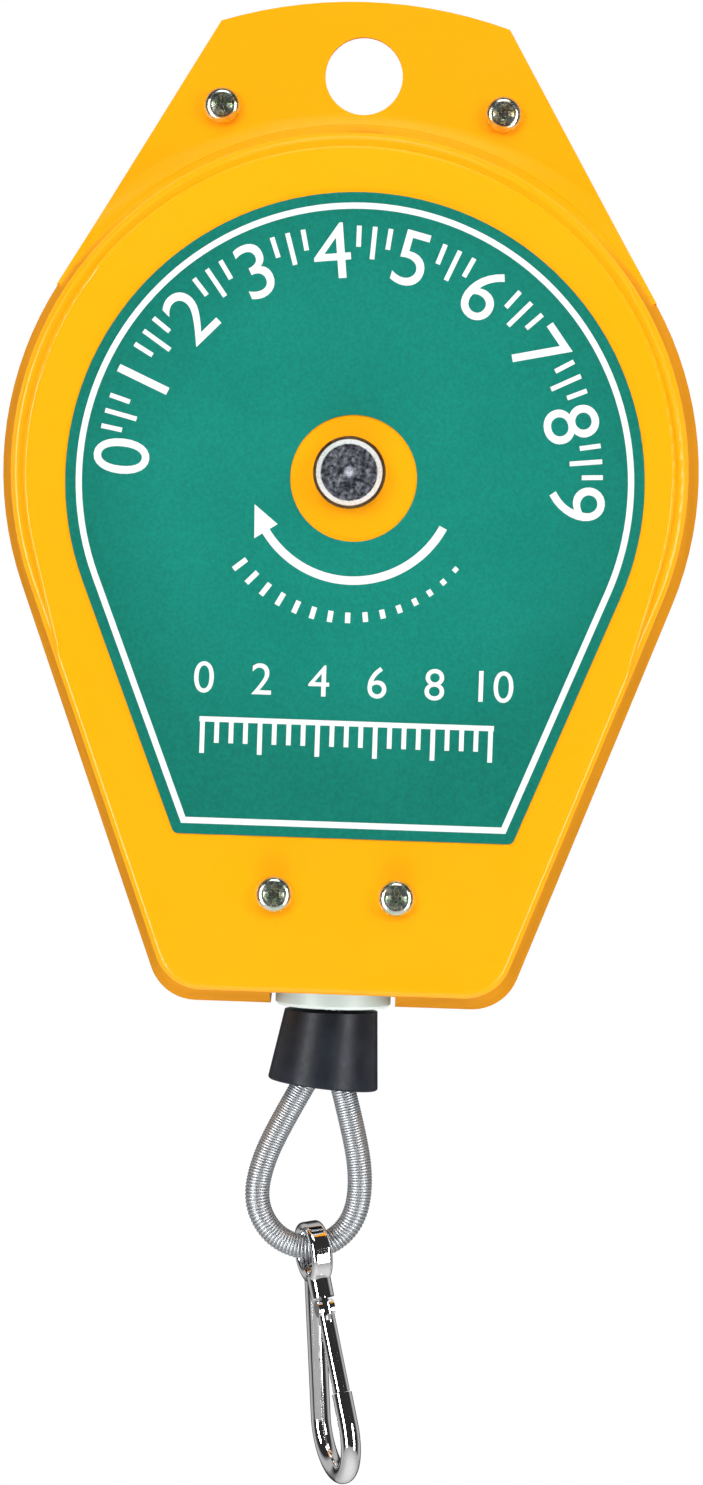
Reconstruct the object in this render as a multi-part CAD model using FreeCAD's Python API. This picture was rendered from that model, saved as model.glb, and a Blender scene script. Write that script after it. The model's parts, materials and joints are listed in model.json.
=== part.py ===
import FreeCAD, Part
import math
import os
from FreeCAD import Matrix, Placement, Rotation, Vector

# Spring balancer. Millimetres, +Z up, the front faces -Y, and the origin is the centre of the
# hanging hole on the parting plane of the two housing halves.

# --- housing: two drawn sheet halves ---
DRUM_AXIS_Z = -76.6        # the drum's and shaft's axis runs along Y at this height
CASE_R = 67.5              # outline round the drum: the housing is 135 wide
FLANK = math.radians(20.5)     # the flanks' lean from the vertical
CASE_BOTTOM = -180.2
CORNER_R = 9.5
CASE_DEPTH = 22.0          # parting plane to the outer face of a half
DRAFT = 3.1 / CASE_DEPTH   # inward lean of the drawn wall
BOTTOM_DRAFT = 4.0 / CASE_DEPTH    # and of the bottom wall
SHEET = 1.2
EDGE_R = 1.6               # rounding of the drawn edge
LEDGE = 1.0                # the ring round the drum lies this much lower than the face
PLATEAU_R = 62.3           # edge of the raised face
PLATEAU_FLANK = math.radians(15.0)
PLATEAU_EDGE_R = 0.8
TAB_SLOPE = math.radians(30.7)     # lean of the tab's sides
TAB_CORNER = (27.9, 9.85)
TAB_TOP = 14.3
BLEND_DROP = 8.0           # the blend into the tab is struck from a centre this far under the axis
BLEND_R = 8.0
BLEND_REACH = 77.5
HANG_R = 7.5
NOTCH_HALF = 12.1          # cut-out in the bottom wall for the rope guide
NOTCH_DEPTH = 20.0

# --- fasteners: M4 ---
TOP_SCREW = (27.2, -6.5)
BOTTOM_SCREW = (11.7, -157.5)
SCREW_R = 2.0
SCREW_HOLE_R = 2.2
HEAD_R = 3.5
HEAD_H = 2.6
HEAD_RIM = 1.1             # straight part of the head's side
RECESS = (1.1, 4.2)        # cross recess: width and length at the top
RECESS_TAPER = 0.45
RECESS_DEPTH = 1.6
NUT_AF = 7.0
NUT_H = 3.2
NUT_GRIP = 1.0             # thread standing out past the nut

# --- label ---
LABEL_R = 55.2
LABEL_CENTRE = (1.1, -78.5)
LABEL_FLANK = math.radians(21.7)
LABEL_BOTTOM = -146.5
LABEL_CORNER_R = 1.2
LABEL_HOLE_R = 12.1
LABEL_HOLE = (0.85, -77.7)     # the foil is stuck on a little off the shaft's centre
LABEL_T = 0.25

# --- shaft and its ratchet ---
SHAFT_END_R = 6.35
SHAFT_R = 7.3
SHAFT_FRONT = -26.4
SHAFT_BEVEL = (0.95, 1.6)      # radial and axial
SHAFT_SHOULDER = 17.2      # the thick middle runs this far each way
HEX_AF = 11.0
HEX_START = 22.2
HEX_END = 37.0
RUN = 0.04                 # radial running clearance
BUSH_R = 11.0
TEETH = 12
RATCHET_R = 17.0
TOOTH_H = 3.0
RATCHET_Y = (23.3, 27.3)
PAWL_PIVOT = (20.5, 13.5)      # from the shaft's axis, x and z
PAWL_BOSS_R = 5.0
PAWL_PIN_R = 2.5

# --- drum ---
ROPE_R = 1.5
TURNS = 5
TURN_PITCH = 3.0
PITCH_R_SMALL = 38.5       # the rope leaves at the small end first
PITCH_R_STEP = 1.75
SMALL_TURN_Y = 0.4         # the turn the rope leaves from at rest
DRUM_WEB = (14.2, 16.6)    # the rear web carries the large flange
DRUM_FRONT = -14.0
SPRING_ROOM_R = 32.5
FLANGE_H = 3.2             # the flanges stand this much over the rope's centre line
DRUM_BUSH_R = 10.0
SPRING_T = 0.6
SPRING_TURNS = 5
SPRING_Y = (-11.0, 12.0)

# --- rope guide, stop, loop ---
GUIDE_TOP = -148.0
GUIDE_HALF = 17.0
GUIDE_FOOT = -175.15       # the block stands on the bottom walls
GUIDE_BORE_R = 4.0
GUIDE_MOUTH_R = 11.0
GUIDE_MOUTH_DEPTH = 12.0
SPIGOT_R = 11.2            # the round end that shows in the bottom cut-out
SPIGOT_BOTTOM = -180.3
SPIGOT_BEVEL = 0.6
ROPE_BEND = (-154.0, 15.0)     # where the rope turns upright in the guide, and its radius
STOP_TOP = (-0.2, -181.25)
STOP_LEAN = math.radians(5.0)
STOP_H = 14.6
STOP_R = (9.0, 10.8)
STOP_ROOM_R = 7.3
FERRULE_X = (-7.3, 4.9)
FERRULE_Z = (-194.0, -186.5)
FERRULE_W = 6.0
LOOP_R = 2.45
LOOP_ROUTE = [
    (-3.6, -193.0), (-9.1, -203.1), (-12.9, -211.8), (-13.9, -219.3), (-10.5, -225.5), (-4.5, -228.2),
    (1.7, -226.7), (5.9, -221.6), (6.7, -213.4), (4.5, -203.2), (1.5, -193.0),
]

# --- snap hook, drawn upright with its eye centre at the origin and its gate towards -Y ---
EYE_CENTRE = (-2.2, -228.65)
HOOK_YAW = 20.0
HOOK_LEAN = 9.0
EYE_R = 4.2                # inside
EYE_T = 1.85               # radial thickness
EYE_W = 4.2
HOOK_R = 1.95
BOW_R = 8.5                # centre line of the bow
BOW_Z = -35.4
NECK = (1.2, -4.6)         # where each leg leaves the eye
COLLAR_R = 2.3
COLLAR_END = -8.9
RIVET_Z = -10.9
RIVET_R = 0.7
TONGUE_T = 1.3
TONGUE_W = 2.6
NOSE_Z = -27.3
GATE_R = 1.65
GATE_GAP = 0.3


def mirror_x(v):
    return Vector(-v.x, v.y, v.z)


def line(a, b):
    return Part.LineSegment(a, b).toShape()


def arc(a, b, c):
    return Part.Arc(a, b, c).toShape()


def polygon(points):
    return Part.Face(Part.makePolygon(points + [points[0]]))


def along_y(radius, y0, y1, x=0.0, z=DRUM_AXIS_Z):
    """A round bar along Y from y0 to y1."""
    return Part.makeCylinder(radius, y1 - y0, Vector(x, y0, z), Vector(0, 1, 0))


def ring_y(outer, inner, y0, y1, x=0.0, z=DRUM_AXIS_Z):
    return along_y(outer, y0, y1, x, z).cut(along_y(inner, y0, y1, x, z))


def turned(profile, x=0.0, z=DRUM_AXIS_Z, sweep=360.0, start=0.0):
    """Revolve a list of (radius, y) points about an axis along Y."""
    points = [Vector(x + r, y, z) for r, y in profile]
    body = polygon(points).revolve(Vector(x, 0, z), Vector(0, 1, 0), sweep)
    body.rotate(Vector(x, 0, z), Vector(0, 1, 0), start)
    return body


def hexagon(across_flats, y0, y1, x, z):
    corner = across_flats / math.sqrt(3)
    points = []
    for k in range(6):
        a = math.radians(60 * k)
        points.append(Vector(x + corner * math.cos(a), y0, z + corner * math.sin(a)))
    return polygon(points).extrude(Vector(0, y1 - y0, 0))


def save(name, shape):
    """Write one node, and say if its solids aren't sound."""
    solids = shape.Solids
    if not solids or not shape.isValid():
        print("UNSOUND", name, len(solids))
    body = solids[0] if len(solids) == 1 else Part.makeCompound(solids)
    body.exportStep(os.path.join("parts", name + ".step"))


# ---------------------------------------------------------------- housing halves

def pan(inset, depth, edge_r):
    """The drawn dish: a cone round the drum and tapering flanks, with its open side on Y = 0."""
    cos_f, sin_f = math.cos(FLANK), math.sin(FLANK)

    def corners(y):
        r = CASE_R - inset + DRAFT * y
        t = Vector(r * cos_f, y, DRUM_AXIS_Z - r * sin_f)
        bottom = CASE_BOTTOM + inset - BOTTOM_DRAFT * y
        b = Vector(t.x - (t.z - bottom) / cos_f * sin_f, y, bottom)
        return [t, b, mirror_x(b), mirror_x(t)]

    back, front = corners(0), corners(-depth)
    faces = [polygon(back), polygon(front)]
    for k in range(4):
        n = (k + 1) % 4
        faces.append(polygon([back[k], back[n], front[n], front[k]]))
    lower = Part.Solid(Part.Shell(faces))
    if lower.Volume < 0:
        lower.reverse()
    upright = [
        e for e in lower.Edges
        if e.BoundBox.YLength > depth / 2 and e.BoundBox.ZMax < CASE_BOTTOM + 2 * CORNER_R
    ]
    lower = lower.makeFillet(CORNER_R - inset, upright)
    cone = Part.makeCone(
        CASE_R - inset, CASE_R - inset - DRAFT * depth, depth,
        Vector(0, 0, DRUM_AXIS_Z), Vector(0, -1, 0),
    )
    dish = lower.fuse(cone).removeSplitter()
    if not edge_r:
        return dish
    rim = [e for e in dish.Edges if e.BoundBox.YMax < -depth + 0.01]
    return dish.makeFillet(edge_r, rim)


def plateau(inset, depth, edge_r):
    """A tall slab whose outline is the raised face round the drum, open towards the bottom."""
    r = PLATEAU_R - inset
    cos_f, sin_f = math.cos(PLATEAU_FLANK), math.sin(PLATEAU_FLANK)
    y = -depth / 2
    t = Vector(r * cos_f, y, DRUM_AXIS_Z - r * sin_f)
    run = 2 * CASE_R
    e = Vector(t.x - run * sin_f, y, t.z - run * cos_f)
    outline = Part.Wire([
        arc(mirror_x(t), Vector(0, y, DRUM_AXIS_Z + r), t),
        line(t, e),
        line(e, mirror_x(e)),
        line(mirror_x(e), mirror_x(t)),
    ])
    slab = Part.Face(outline).extrude(Vector(0, -depth / 2, 0))
    if not edge_r:
        return slab
    top = [q for q in slab.Edges if q.BoundBox.YMax < -depth + 0.01 and q.BoundBox.ZMax > e.z + 1]
    return slab.makeFillet(edge_r, top)


def pressing(inset, edge_r, plateau_edge_r):
    """The pan with its lower ring: the outside of a half, or with an inset its inside."""
    full = pan(inset, CASE_DEPTH - inset, edge_r)
    low = pan(inset, CASE_DEPTH - LEDGE - inset, edge_r)
    face = full.common(plateau(inset, CASE_DEPTH - inset, plateau_edge_r))
    return low.fuse(face)


def tab_outline(depth):
    """The hanging tab's outline as a slab from the parting plane forwards."""
    t = Vector(CASE_R * math.cos(TAB_SLOPE), 0, DRUM_AXIS_Z + CASE_R * math.sin(TAB_SLOPE))
    c = Vector(TAB_CORNER[0], 0, TAB_CORNER[1])
    outline = Part.Wire([
        line(mirror_x(t), mirror_x(c)),
        arc(mirror_x(c), Vector(0, 0, TAB_TOP), c),
        line(c, t),
        line(t, mirror_x(t)),
    ])
    return Part.Face(outline).extrude(Vector(0, -depth, 0))


def tab_blend():
    """The hollow curve from the wall into the tab: none over the top, and wider to each side."""
    z = DRUM_AXIS_Z - BLEND_DROP
    foot = BLEND_REACH - BLEND_R
    bend = BLEND_R * math.sin(math.pi / 4)

    def p(r, y):
        return Vector(r, y, z)

    top = -SHEET - BLEND_R
    section = Part.Wire([
        line(p(CASE_R - BLEND_DROP, 0), p(CASE_R - BLEND_DROP, top)),
        line(p(CASE_R - BLEND_DROP, top), p(foot, top)),
        arc(p(foot, top), p(BLEND_REACH - bend, top + bend), p(BLEND_REACH, -SHEET)),
        line(p(BLEND_REACH, -SHEET), p(BLEND_REACH, 0)),
        line(p(BLEND_REACH, 0), p(CASE_R - BLEND_DROP, 0)),
    ])
    skirt = Part.Face(section).revolve(Vector(0, 0, z), Vector(0, 1, 0), 360)
    return skirt.common(tab_outline(BLEND_R + 2 * SHEET))


def bottom_notch():
    """The cut-out in the bottom wall, with rounded corners at the front."""
    reach = NOTCH_DEPTH
    block = Part.makeBox(
        2 * NOTCH_HALF, reach, 3 * CORNER_R, Vector(-NOTCH_HALF, -reach, CASE_BOTTOM - 2 * CORNER_R)
    )
    upright = [e for e in block.Edges if e.BoundBox.ZLength > CORNER_R and e.BoundBox.YMax < 1 - reach]
    return block.makeFillet(1.5, upright)


def half_housing(shaft_hole_r):
    """A front half. The rear half is its mirror image."""
    outside = pressing(0, EDGE_R, PLATEAU_EDGE_R)
    outside = outside.fuse([tab_outline(SHEET), tab_blend()])
    half = outside.cut(pressing(SHEET, 0, 0)).removeSplitter()
    holes = [
        along_y(HANG_R, -CASE_DEPTH, 1, 0, 0),
        along_y(shaft_hole_r, -CASE_DEPTH - 1, 0),
        bottom_notch(),
    ]
    for side in (-1, 1):
        for x, z in (TOP_SCREW, BOTTOM_SCREW):
            holes.append(along_y(SCREW_HOLE_R, -CASE_DEPTH - 1, 1, side * x, z))
    return half.cut(holes)


def build_shells():
    front = half_housing(SHAFT_END_R + 0.6)
    save("front_shell", front)
    rear = half_housing(SHAFT_END_R + 0.6).mirror(Vector(0, 0, 0), Vector(0, 1, 0))
    px, pz = PAWL_PIVOT[0], DRUM_AXIS_Z + PAWL_PIVOT[1]
    save("rear_shell", rear.cut(along_y(PAWL_PIN_R - 0.5, 10, 30, px, pz)))


# ---------------------------------------------------------------- fasteners

def pan_screw(x, z, head_y, length):
    """A pan head on the front with a tapered cross recess, and its shank running back."""
    def p(r, y):
        return Vector(x + r * HEAD_R, head_y - y * HEAD_H, z)

    rim = HEAD_RIM / HEAD_H
    outline = Part.Wire([
        line(p(0, 0), p(1, 0)),
        line(p(1, 0), p(1, rim)),
        arc(p(1, rim), p(0.87, 0.76), p(0.58, 0.92)),
        arc(p(0.58, 0.92), p(0.3, 0.98), p(0, 1)),
        line(p(0, 1), p(0, 0)),
    ])
    head = Part.Face(outline).revolve(Vector(x, 0, z), Vector(0, 1, 0), 360)
    top = Vector(x, head_y - HEAD_H, z)
    for w, h in (RECESS, RECESS[::-1]):
        a, b = w / 2, h / 2
        c, d = a * RECESS_TAPER, b * RECESS_TAPER
        wing = Part.makeWedge(-a, 0, -b, -d, -c, a, RECESS_DEPTH, b, d, c)
        wing.translate(top)
        head = head.cut(wing)
    return head.fuse(along_y(SCREW_R, head_y - 0.2, head_y + length, x, z)).removeSplitter()


def build_fasteners():
    top, bottom, nuts = [], [], []
    for side in (-1, 1):
        x, z = side * TOP_SCREW[0], TOP_SCREW[1]
        top.append(pan_screw(x, z, -SHEET, 2 * SHEET + NUT_H + NUT_GRIP))
        nuts.append(hexagon(NUT_AF, SHEET, SHEET + NUT_H, x, z).cut(along_y(SCREW_R, 0, CASE_DEPTH, x, z)))
        x, z = side * BOTTOM_SCREW[0], BOTTOM_SCREW[1]
        bottom.append(pan_screw(x, z, -CASE_DEPTH, 2 * CASE_DEPTH + NUT_H + NUT_GRIP))
        nut = hexagon(NUT_AF, CASE_DEPTH, CASE_DEPTH + NUT_H, x, z)
        nuts.append(nut.cut(along_y(SCREW_R, 0, 2 * CASE_DEPTH, x, z)))
    save("top_screws", Part.makeCompound(top))
    save("bottom_screws", Part.makeCompound(bottom))
    save("housing_nuts", Part.makeCompound(nuts))


# ---------------------------------------------------------------- label

def build_label():
    cx, cz = LABEL_CENTRE
    cos_f, sin_f = math.cos(LABEL_FLANK), math.sin(LABEL_FLANK)
    y = -CASE_DEPTH
    right = Vector(cx + LABEL_R * cos_f, y, cz - LABEL_R * sin_f)
    left = Vector(cx - LABEL_R * cos_f, y, right.z)
    run = (right.z - LABEL_BOTTOM) / cos_f
    low_right = Vector(right.x - run * sin_f, y, LABEL_BOTTOM)
    low_left = Vector(left.x + run * sin_f, y, LABEL_BOTTOM)
    outline = Part.Wire([
        arc(left, Vector(cx, y, cz + LABEL_R), right),
        line(right, low_right),
        line(low_right, low_left),
        line(low_left, left),
    ])
    label = Part.Face(outline).extrude(Vector(0, -LABEL_T, 0))
    upright = [
        e for e in label.Edges
        if e.BoundBox.YLength > LABEL_T / 2 and e.BoundBox.ZMax < LABEL_BOTTOM + 1
    ]
    label = label.makeFillet(LABEL_CORNER_R, upright)
    save("front_label", label.cut(along_y(LABEL_HOLE_R, y - 1, y + 1, *LABEL_HOLE)))


# ---------------------------------------------------------------- shaft, ratchet and pawl

def build_shaft():
    radial, axial = SHAFT_BEVEL
    front, back = Vector(0, SHAFT_FRONT, DRUM_AXIS_Z), Vector(0, 1, 0)
    end = Part.makeCone(SHAFT_END_R - radial, SHAFT_END_R, axial, front, back)
    shaft = end.fuse([
        along_y(SHAFT_END_R, SHAFT_FRONT + axial, HEX_START),
        along_y(SHAFT_R, -SHAFT_SHOULDER, SHAFT_SHOULDER),
        hexagon(HEX_AF, HEX_START, HEX_END, 0, DRUM_AXIS_Z),
    ]).removeSplitter()
    dimple = Part.makeCone(1.2, 0.1, 1.2, front, back)
    groove = ring_y(HEX_AF, HEX_AF / 2 - 0.3, RATCHET_Y[1] + 0.2, RATCHET_Y[1] + 1.2)
    save("shaft", shaft.cut([dimple, groove]))
    bushes = []
    inside = CASE_DEPTH - SHEET
    for side in (-1, 1):
        y0, y1 = sorted((side * (SHAFT_SHOULDER + 0.2), side * inside))
        bushes.append(ring_y(BUSH_R, SHAFT_END_R + RUN, y0, y1))
    save("shaft_bushes", Part.makeCompound(bushes))
    save("rear_washer", ring_y(HEX_AF, HEX_AF / math.sqrt(3) + 0.1, CASE_DEPTH + 0.15, RATCHET_Y[0]))
    clip = ring_y(HEX_AF - 1.5, HEX_AF / 2 - 0.3, RATCHET_Y[1] + 0.2, RATCHET_Y[1] + 1.2)
    mouth = Part.makeBox(5, 4, 12, Vector(-2.5, RATCHET_Y[1] - 1, DRUM_AXIS_Z))
    save("retaining_clip", clip.cut(mouth))


def ratchet_wheel():
    """Saw teeth whose steep sides stop the wheel turning counter-clockwise as seen from the front."""
    root = RATCHET_R - TOOTH_H
    points = []
    for k in range(TEETH):
        a = 2 * math.pi * k / TEETH
        for r in (root, RATCHET_R):
            points.append(Vector(r * math.cos(-a), RATCHET_Y[0], DRUM_AXIS_Z + r * math.sin(-a)))
    wheel = polygon(points).extrude(Vector(0, RATCHET_Y[1] - RATCHET_Y[0], 0))
    return wheel.cut(hexagon(HEX_AF, RATCHET_Y[0] - 1, RATCHET_Y[1] + 1, 0, DRUM_AXIS_Z))


def from_axis(radius, angle, y=0.0):
    """A point at a radius and an angle in degrees from the shaft's axis."""
    a = math.radians(angle)
    return Vector(radius * math.cos(a), y, DRUM_AXIS_Z + radius * math.sin(a))


def build_ratchet():
    save("ratchet_wheel", ratchet_wheel())
    y0, y1 = RATCHET_Y[0] + 0.2, RATCHET_Y[1] - 0.2
    px, pz = PAWL_PIVOT[0], DRUM_AXIS_Z + PAWL_PIVOT[1]
    root = RATCHET_R - TOOTH_H
    tooth = -360 / TEETH
    arm = polygon([
        from_axis(root + 0.25, tooth + 0.6, y0),
        from_axis(RATCHET_R + 1.2, tooth + 0.6, y0),
        Vector(PAWL_PIVOT[0] + 0.6, y0, DRUM_AXIS_Z),
        Vector(px + PAWL_BOSS_R, y0, pz),
        Vector(px - PAWL_BOSS_R, y0, pz),
        Vector(RATCHET_R + 0.7, y0, DRUM_AXIS_Z + 0.5),
        from_axis(RATCHET_R - 1.15, tooth / 2, y0),
    ]).extrude(Vector(0, y1 - y0, 0))
    pawl = arm.fuse(along_y(PAWL_BOSS_R, y0, y1, px, pz)).removeSplitter()
    save("pawl", pawl.cut(along_y(PAWL_PIN_R + RUN, y0 - 1, y1 + 1, px, pz)))
    pivot = along_y(PAWL_PIN_R - 0.5, CASE_DEPTH - 4, CASE_DEPTH, px, pz).fuse([
        along_y(PAWL_BOSS_R - 0.5, CASE_DEPTH, y0 - 0.1, px, pz),
        along_y(PAWL_PIN_R, y0 - 0.1, y1 + 0.2, px, pz),
        along_y(PAWL_BOSS_R - 0.5, y1 + 0.2, y1 + 2.2, px, pz),
    ]).removeSplitter()
    save("pawl_pivot", pivot)


# ---------------------------------------------------------------- drum

def pitch_r(turn):
    return PITCH_R_SMALL + turn * PITCH_R_STEP


def turn_y(turn):
    return SMALL_TURN_Y + turn * TURN_PITCH


def bed_r(y):
    """Radius of the cone that the rope is wound on."""
    slope = PITCH_R_STEP / TURN_PITCH
    return PITCH_R_SMALL + (y - SMALL_TURN_Y) * slope - (ROPE_R + RUN) * math.hypot(1, slope)


def build_drum():
    web, rear = DRUM_WEB
    small_end = SMALL_TURN_Y - TURN_PITCH / 2 - 1.0
    large = pitch_r(TURNS - 1) + FLANGE_H
    small = pitch_r(0) + FLANGE_H
    boss_r, boss_end = DRUM_BUSH_R + 3, SHAFT_SHOULDER - 0.1
    drum = turned([
        (DRUM_BUSH_R, web), (SPRING_ROOM_R, web), (SPRING_ROOM_R, DRUM_FRONT), (small, DRUM_FRONT),
        (small, small_end), (bed_r(small_end), small_end), (bed_r(web), web), (large, web),
        (large, rear), (boss_r, rear), (boss_r, boss_end), (DRUM_BUSH_R, boss_end),
    ])
    plate = DRUM_FRONT - 1.6
    cover = turned([
        (DRUM_BUSH_R, -boss_end), (boss_r, -boss_end), (boss_r, plate), (small - 1, plate),
        (small - 1, DRUM_FRONT), (DRUM_BUSH_R, DRUM_FRONT),
    ])
    screws = []
    for k in range(3):
        p = from_axis(SPRING_ROOM_R + 4, 90 + 120 * k)
        hole = along_y(1.5, plate - 1, DRUM_FRONT + 6, p.x, p.z)
        drum, cover = drum.cut(hole), cover.cut(hole)
        head = along_y(2.8, plate - 1.7, plate, p.x, p.z)
        head = head.cut(Part.makeBox(0.8, 1, 6, Vector(p.x - 0.4, plate - 1.7, p.z - 3)))
        screws.append(head.fuse(along_y(1.5, plate - 0.7, DRUM_FRONT + 6, p.x, p.z)).removeSplitter())
    save("drum", drum)
    save("drum_cover", cover)
    save("cover_screws", Part.makeCompound(screws))
    bushes = [
        ring_y(DRUM_BUSH_R, SHAFT_R + RUN, web, boss_end),
        ring_y(DRUM_BUSH_R, SHAFT_R + RUN, -boss_end, DRUM_FRONT + 2),
    ]
    save("drum_bushes", Part.makeCompound(bushes))


def rope_turns(first, last, sweep):
    """Turns of rope lying side by side on the cone, each with a flattened crest."""
    half, flat = TURN_PITCH / 2, TURN_PITCH / 4
    valley = ROPE_R + 0.45
    profile = []
    for turn in range(first, last + 1):
        y, crest = turn_y(turn), pitch_r(turn) + ROPE_R
        profile.append((bed_r(y - half) + valley, y - half))
        profile.append((crest, y - flat))
        profile.append((crest, y + flat))
    y0, y1 = turn_y(first) - half, turn_y(last) + half
    profile += [(bed_r(y1) + valley, y1), (bed_r(y1), y1), (bed_r(y0), y0)]
    lean = math.degrees(rope_tangent()[0])
    return turned(profile, sweep=sweep, start=-180 - lean)


def rope_tangent():
    """The angle below the horizontal at which the rope leaves the small turn, and the point."""
    drop = DRUM_AXIS_Z - ROPE_BEND[0]
    lean = math.asin(pitch_r(0) / drop)
    point = from_axis(pitch_r(0), 180 + math.degrees(lean), turn_y(0))
    return lean, point


def swept(radius, edges):
    """A round bar along a chain of tangent lines and arcs."""
    pieces = []
    for e in edges:
        start, end = e.valueAt(e.FirstParameter), e.valueAt(e.LastParameter)
        way = e.tangentAt(e.FirstParameter)
        if e.Curve.TypeId == "Part::GeomLine":
            pieces.append(Part.makeCylinder(radius, e.Length, start, end - start))
            continue
        section = Part.Face(Part.Wire([Part.Circle(start, way, radius).toShape()]))
        centre, axis = e.Curve.Center, e.Curve.Axis
        if (axis.cross(start - centre)).dot(way) < 0:
            axis = axis * -1
        pieces.append(section.revolve(centre, axis, math.degrees(e.Length / e.Curve.Radius)))
    return pieces[0].fuse(pieces[1:]).removeSplitter()


def rounded_path(points, radii):
    """Straight runs through the points, joined by tangent arcs."""
    edges, last = [], points[0]
    for k in range(1, len(points) - 1):
        p = points[k]
        u = (points[k - 1] - p).normalize()
        v = (points[k + 1] - p).normalize()
        half_turn = (math.pi - u.getAngle(v)) / 2
        reach = radii[k - 1] * math.tan(half_turn)
        a, b = p + u * reach, p + v * reach
        middle = (u + v).normalize()
        centre_off = radii[k - 1] / math.cos(half_turn)
        m = p + middle * (centre_off - radii[k - 1])
        if (a - last).Length > 1e-3:
            edges.append(line(last, a))
        edges.append(arc(a, m, b))
        last = b
    edges.append(line(last, points[-1]))
    return edges


def build_rope():
    _, leaves = rope_tangent()
    turns = rope_turns(1, TURNS - 1, 360)
    save("wound_rope", turns.fuse(rope_turns(0, 0, 300)).removeSplitter())
    bend_z, bend_r = ROPE_BEND
    bend, end = Vector(0, 0, bend_z), Vector(0, 0, FERRULE_Z[1])
    start = leaves + (bend - leaves).normalize() * 0.4
    save("lead_rope", swept(ROPE_R, rounded_path([start, bend, end], [bend_r])))


def build_power_spring():
    """A clock spring of half-circle arcs struck from two centres."""
    step = (SPRING_ROOM_R - SHAFT_R - 2 * SPRING_T) / SPRING_TURNS / 2
    inner, outer = [], []
    for k in range(2 * SPRING_TURNS):
        side = 1 if k % 2 == 0 else -1
        cx = side * step / 2
        r = SHAFT_R + SPRING_T + step * (k + 0.5)
        for off, edges in ((-SPRING_T / 2, inner), (SPRING_T / 2, outer)):
            a = Vector(cx - side * (r + off), 0, DRUM_AXIS_Z)
            m = Vector(cx, 0, DRUM_AXIS_Z + side * (r + off))
            b = Vector(cx + side * (r + off), 0, DRUM_AXIS_Z)
            edges.append(arc(a, m, b))
    caps = [
        line(inner[0].Vertexes[0].Point, outer[0].Vertexes[0].Point),
        line(inner[-1].Vertexes[-1].Point, outer[-1].Vertexes[-1].Point),
    ]
    outline = Part.Wire(Part.__sortEdges__(inner + outer + caps))
    strip = Part.Face(outline).extrude(Vector(0, SPRING_Y[1] - SPRING_Y[0], 0))
    strip.translate(Vector(0, SPRING_Y[0], 0))
    save("power_spring", strip)


# ---------------------------------------------------------------- rope guide, stop and loop

def build_guide():
    room = CASE_DEPTH - SHEET - 0.05
    height = GUIDE_TOP - GUIDE_FOOT
    block = Part.makeBox(2 * GUIDE_HALF, 2 * room, height, Vector(-GUIDE_HALF, -room, GUIDE_FOOT))
    block = block.makeFillet(4.0, [e for e in block.Edges if e.BoundBox.ZLength > 1])
    down = Vector(0, 0, -1)
    root = GUIDE_FOOT + 1
    spigot = Part.makeCylinder(SPIGOT_R, root - SPIGOT_BOTTOM, Vector(0, 0, root), down)
    rim = [e for e in spigot.Edges if e.BoundBox.ZMax < SPIGOT_BOTTOM + 0.1]
    spigot = spigot.makeChamfer(SPIGOT_BEVEL, rim)
    guide = block.fuse(spigot).removeSplitter()
    cuts = [
        Part.makeCylinder(GUIDE_BORE_R, 50, Vector(0, 0, GUIDE_TOP), down),
        Part.makeCone(GUIDE_MOUTH_R, GUIDE_BORE_R, GUIDE_MOUTH_DEPTH, Vector(0, 0, GUIDE_TOP), down),
    ]
    for side in (-1, 1):
        cuts.append(along_y(SCREW_HOLE_R, -CASE_DEPTH, CASE_DEPTH, side * BOTTOM_SCREW[0], BOTTOM_SCREW[1]))
    save("rope_guide", guide.cut(cuts))


def build_stop():
    lean = Vector(-math.sin(STOP_LEAN), 0, -math.cos(STOP_LEAN))
    top = Vector(STOP_TOP[0], 0, STOP_TOP[1])
    above = 1.0
    flare = (STOP_R[1] - STOP_R[0]) / STOP_H
    cone = Part.makeCone(STOP_R[0] - above * flare, STOP_R[1], STOP_H + above, top - lean * above, lean)
    foot = [e for e in cone.Edges if e.BoundBox.ZMax < STOP_TOP[1] - STOP_H + 3]
    cone = cone.makeFillet(0.5, foot)
    lid = Part.makeBox(40, 40, 10, Vector(-20, -20, STOP_TOP[1]))
    room = Part.makeCylinder(STOP_ROOM_R, STOP_H, top + lean * 3.7, lean)
    bore = Part.makeCylinder(ROPE_R + 0.3, 10, Vector(0, 0, STOP_TOP[1] + 1), Vector(0, 0, -1))
    save("rubber_stop", cone.cut([lid, room, bore]))
    x0, x1 = FERRULE_X
    z0, z1 = FERRULE_Z
    sleeve = Part.makeBox(x1 - x0, FERRULE_W, z1 - z0, Vector(x0, -FERRULE_W / 2, z0))
    upright = [e for e in sleeve.Edges if e.BoundBox.ZLength > 1]
    save("ferrule", sleeve.makeFillet(FERRULE_W / 2 - 0.1, upright))


def build_loop():
    points = [Vector(x, 0, z) for x, z in LOOP_ROUTE]
    radii = []
    for k in range(1, len(points) - 1):
        u, v = points[k - 1] - points[k], points[k + 1] - points[k]
        half_turn = (math.pi - u.getAngle(v)) / 2
        radii.append(0.45 * min(u.Length, v.Length) / math.tan(half_turn))
    print("loop arc radii", [round(r, 1) for r in radii])
    path = rounded_path(points, radii)
    tube = swept(LOOP_R, path)
    length = sum(e.Length for e in path)
    print("loop length", round(length, 1), "volume ratio", tube.Volume / (math.pi * LOOP_R ** 2 * length))
    lid = Part.makeBox(40, 40, 10, Vector(-20, -20, FERRULE_Z[0]))
    save("rope_loop", tube.cut(lid))


# ---------------------------------------------------------------- snap hook

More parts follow.
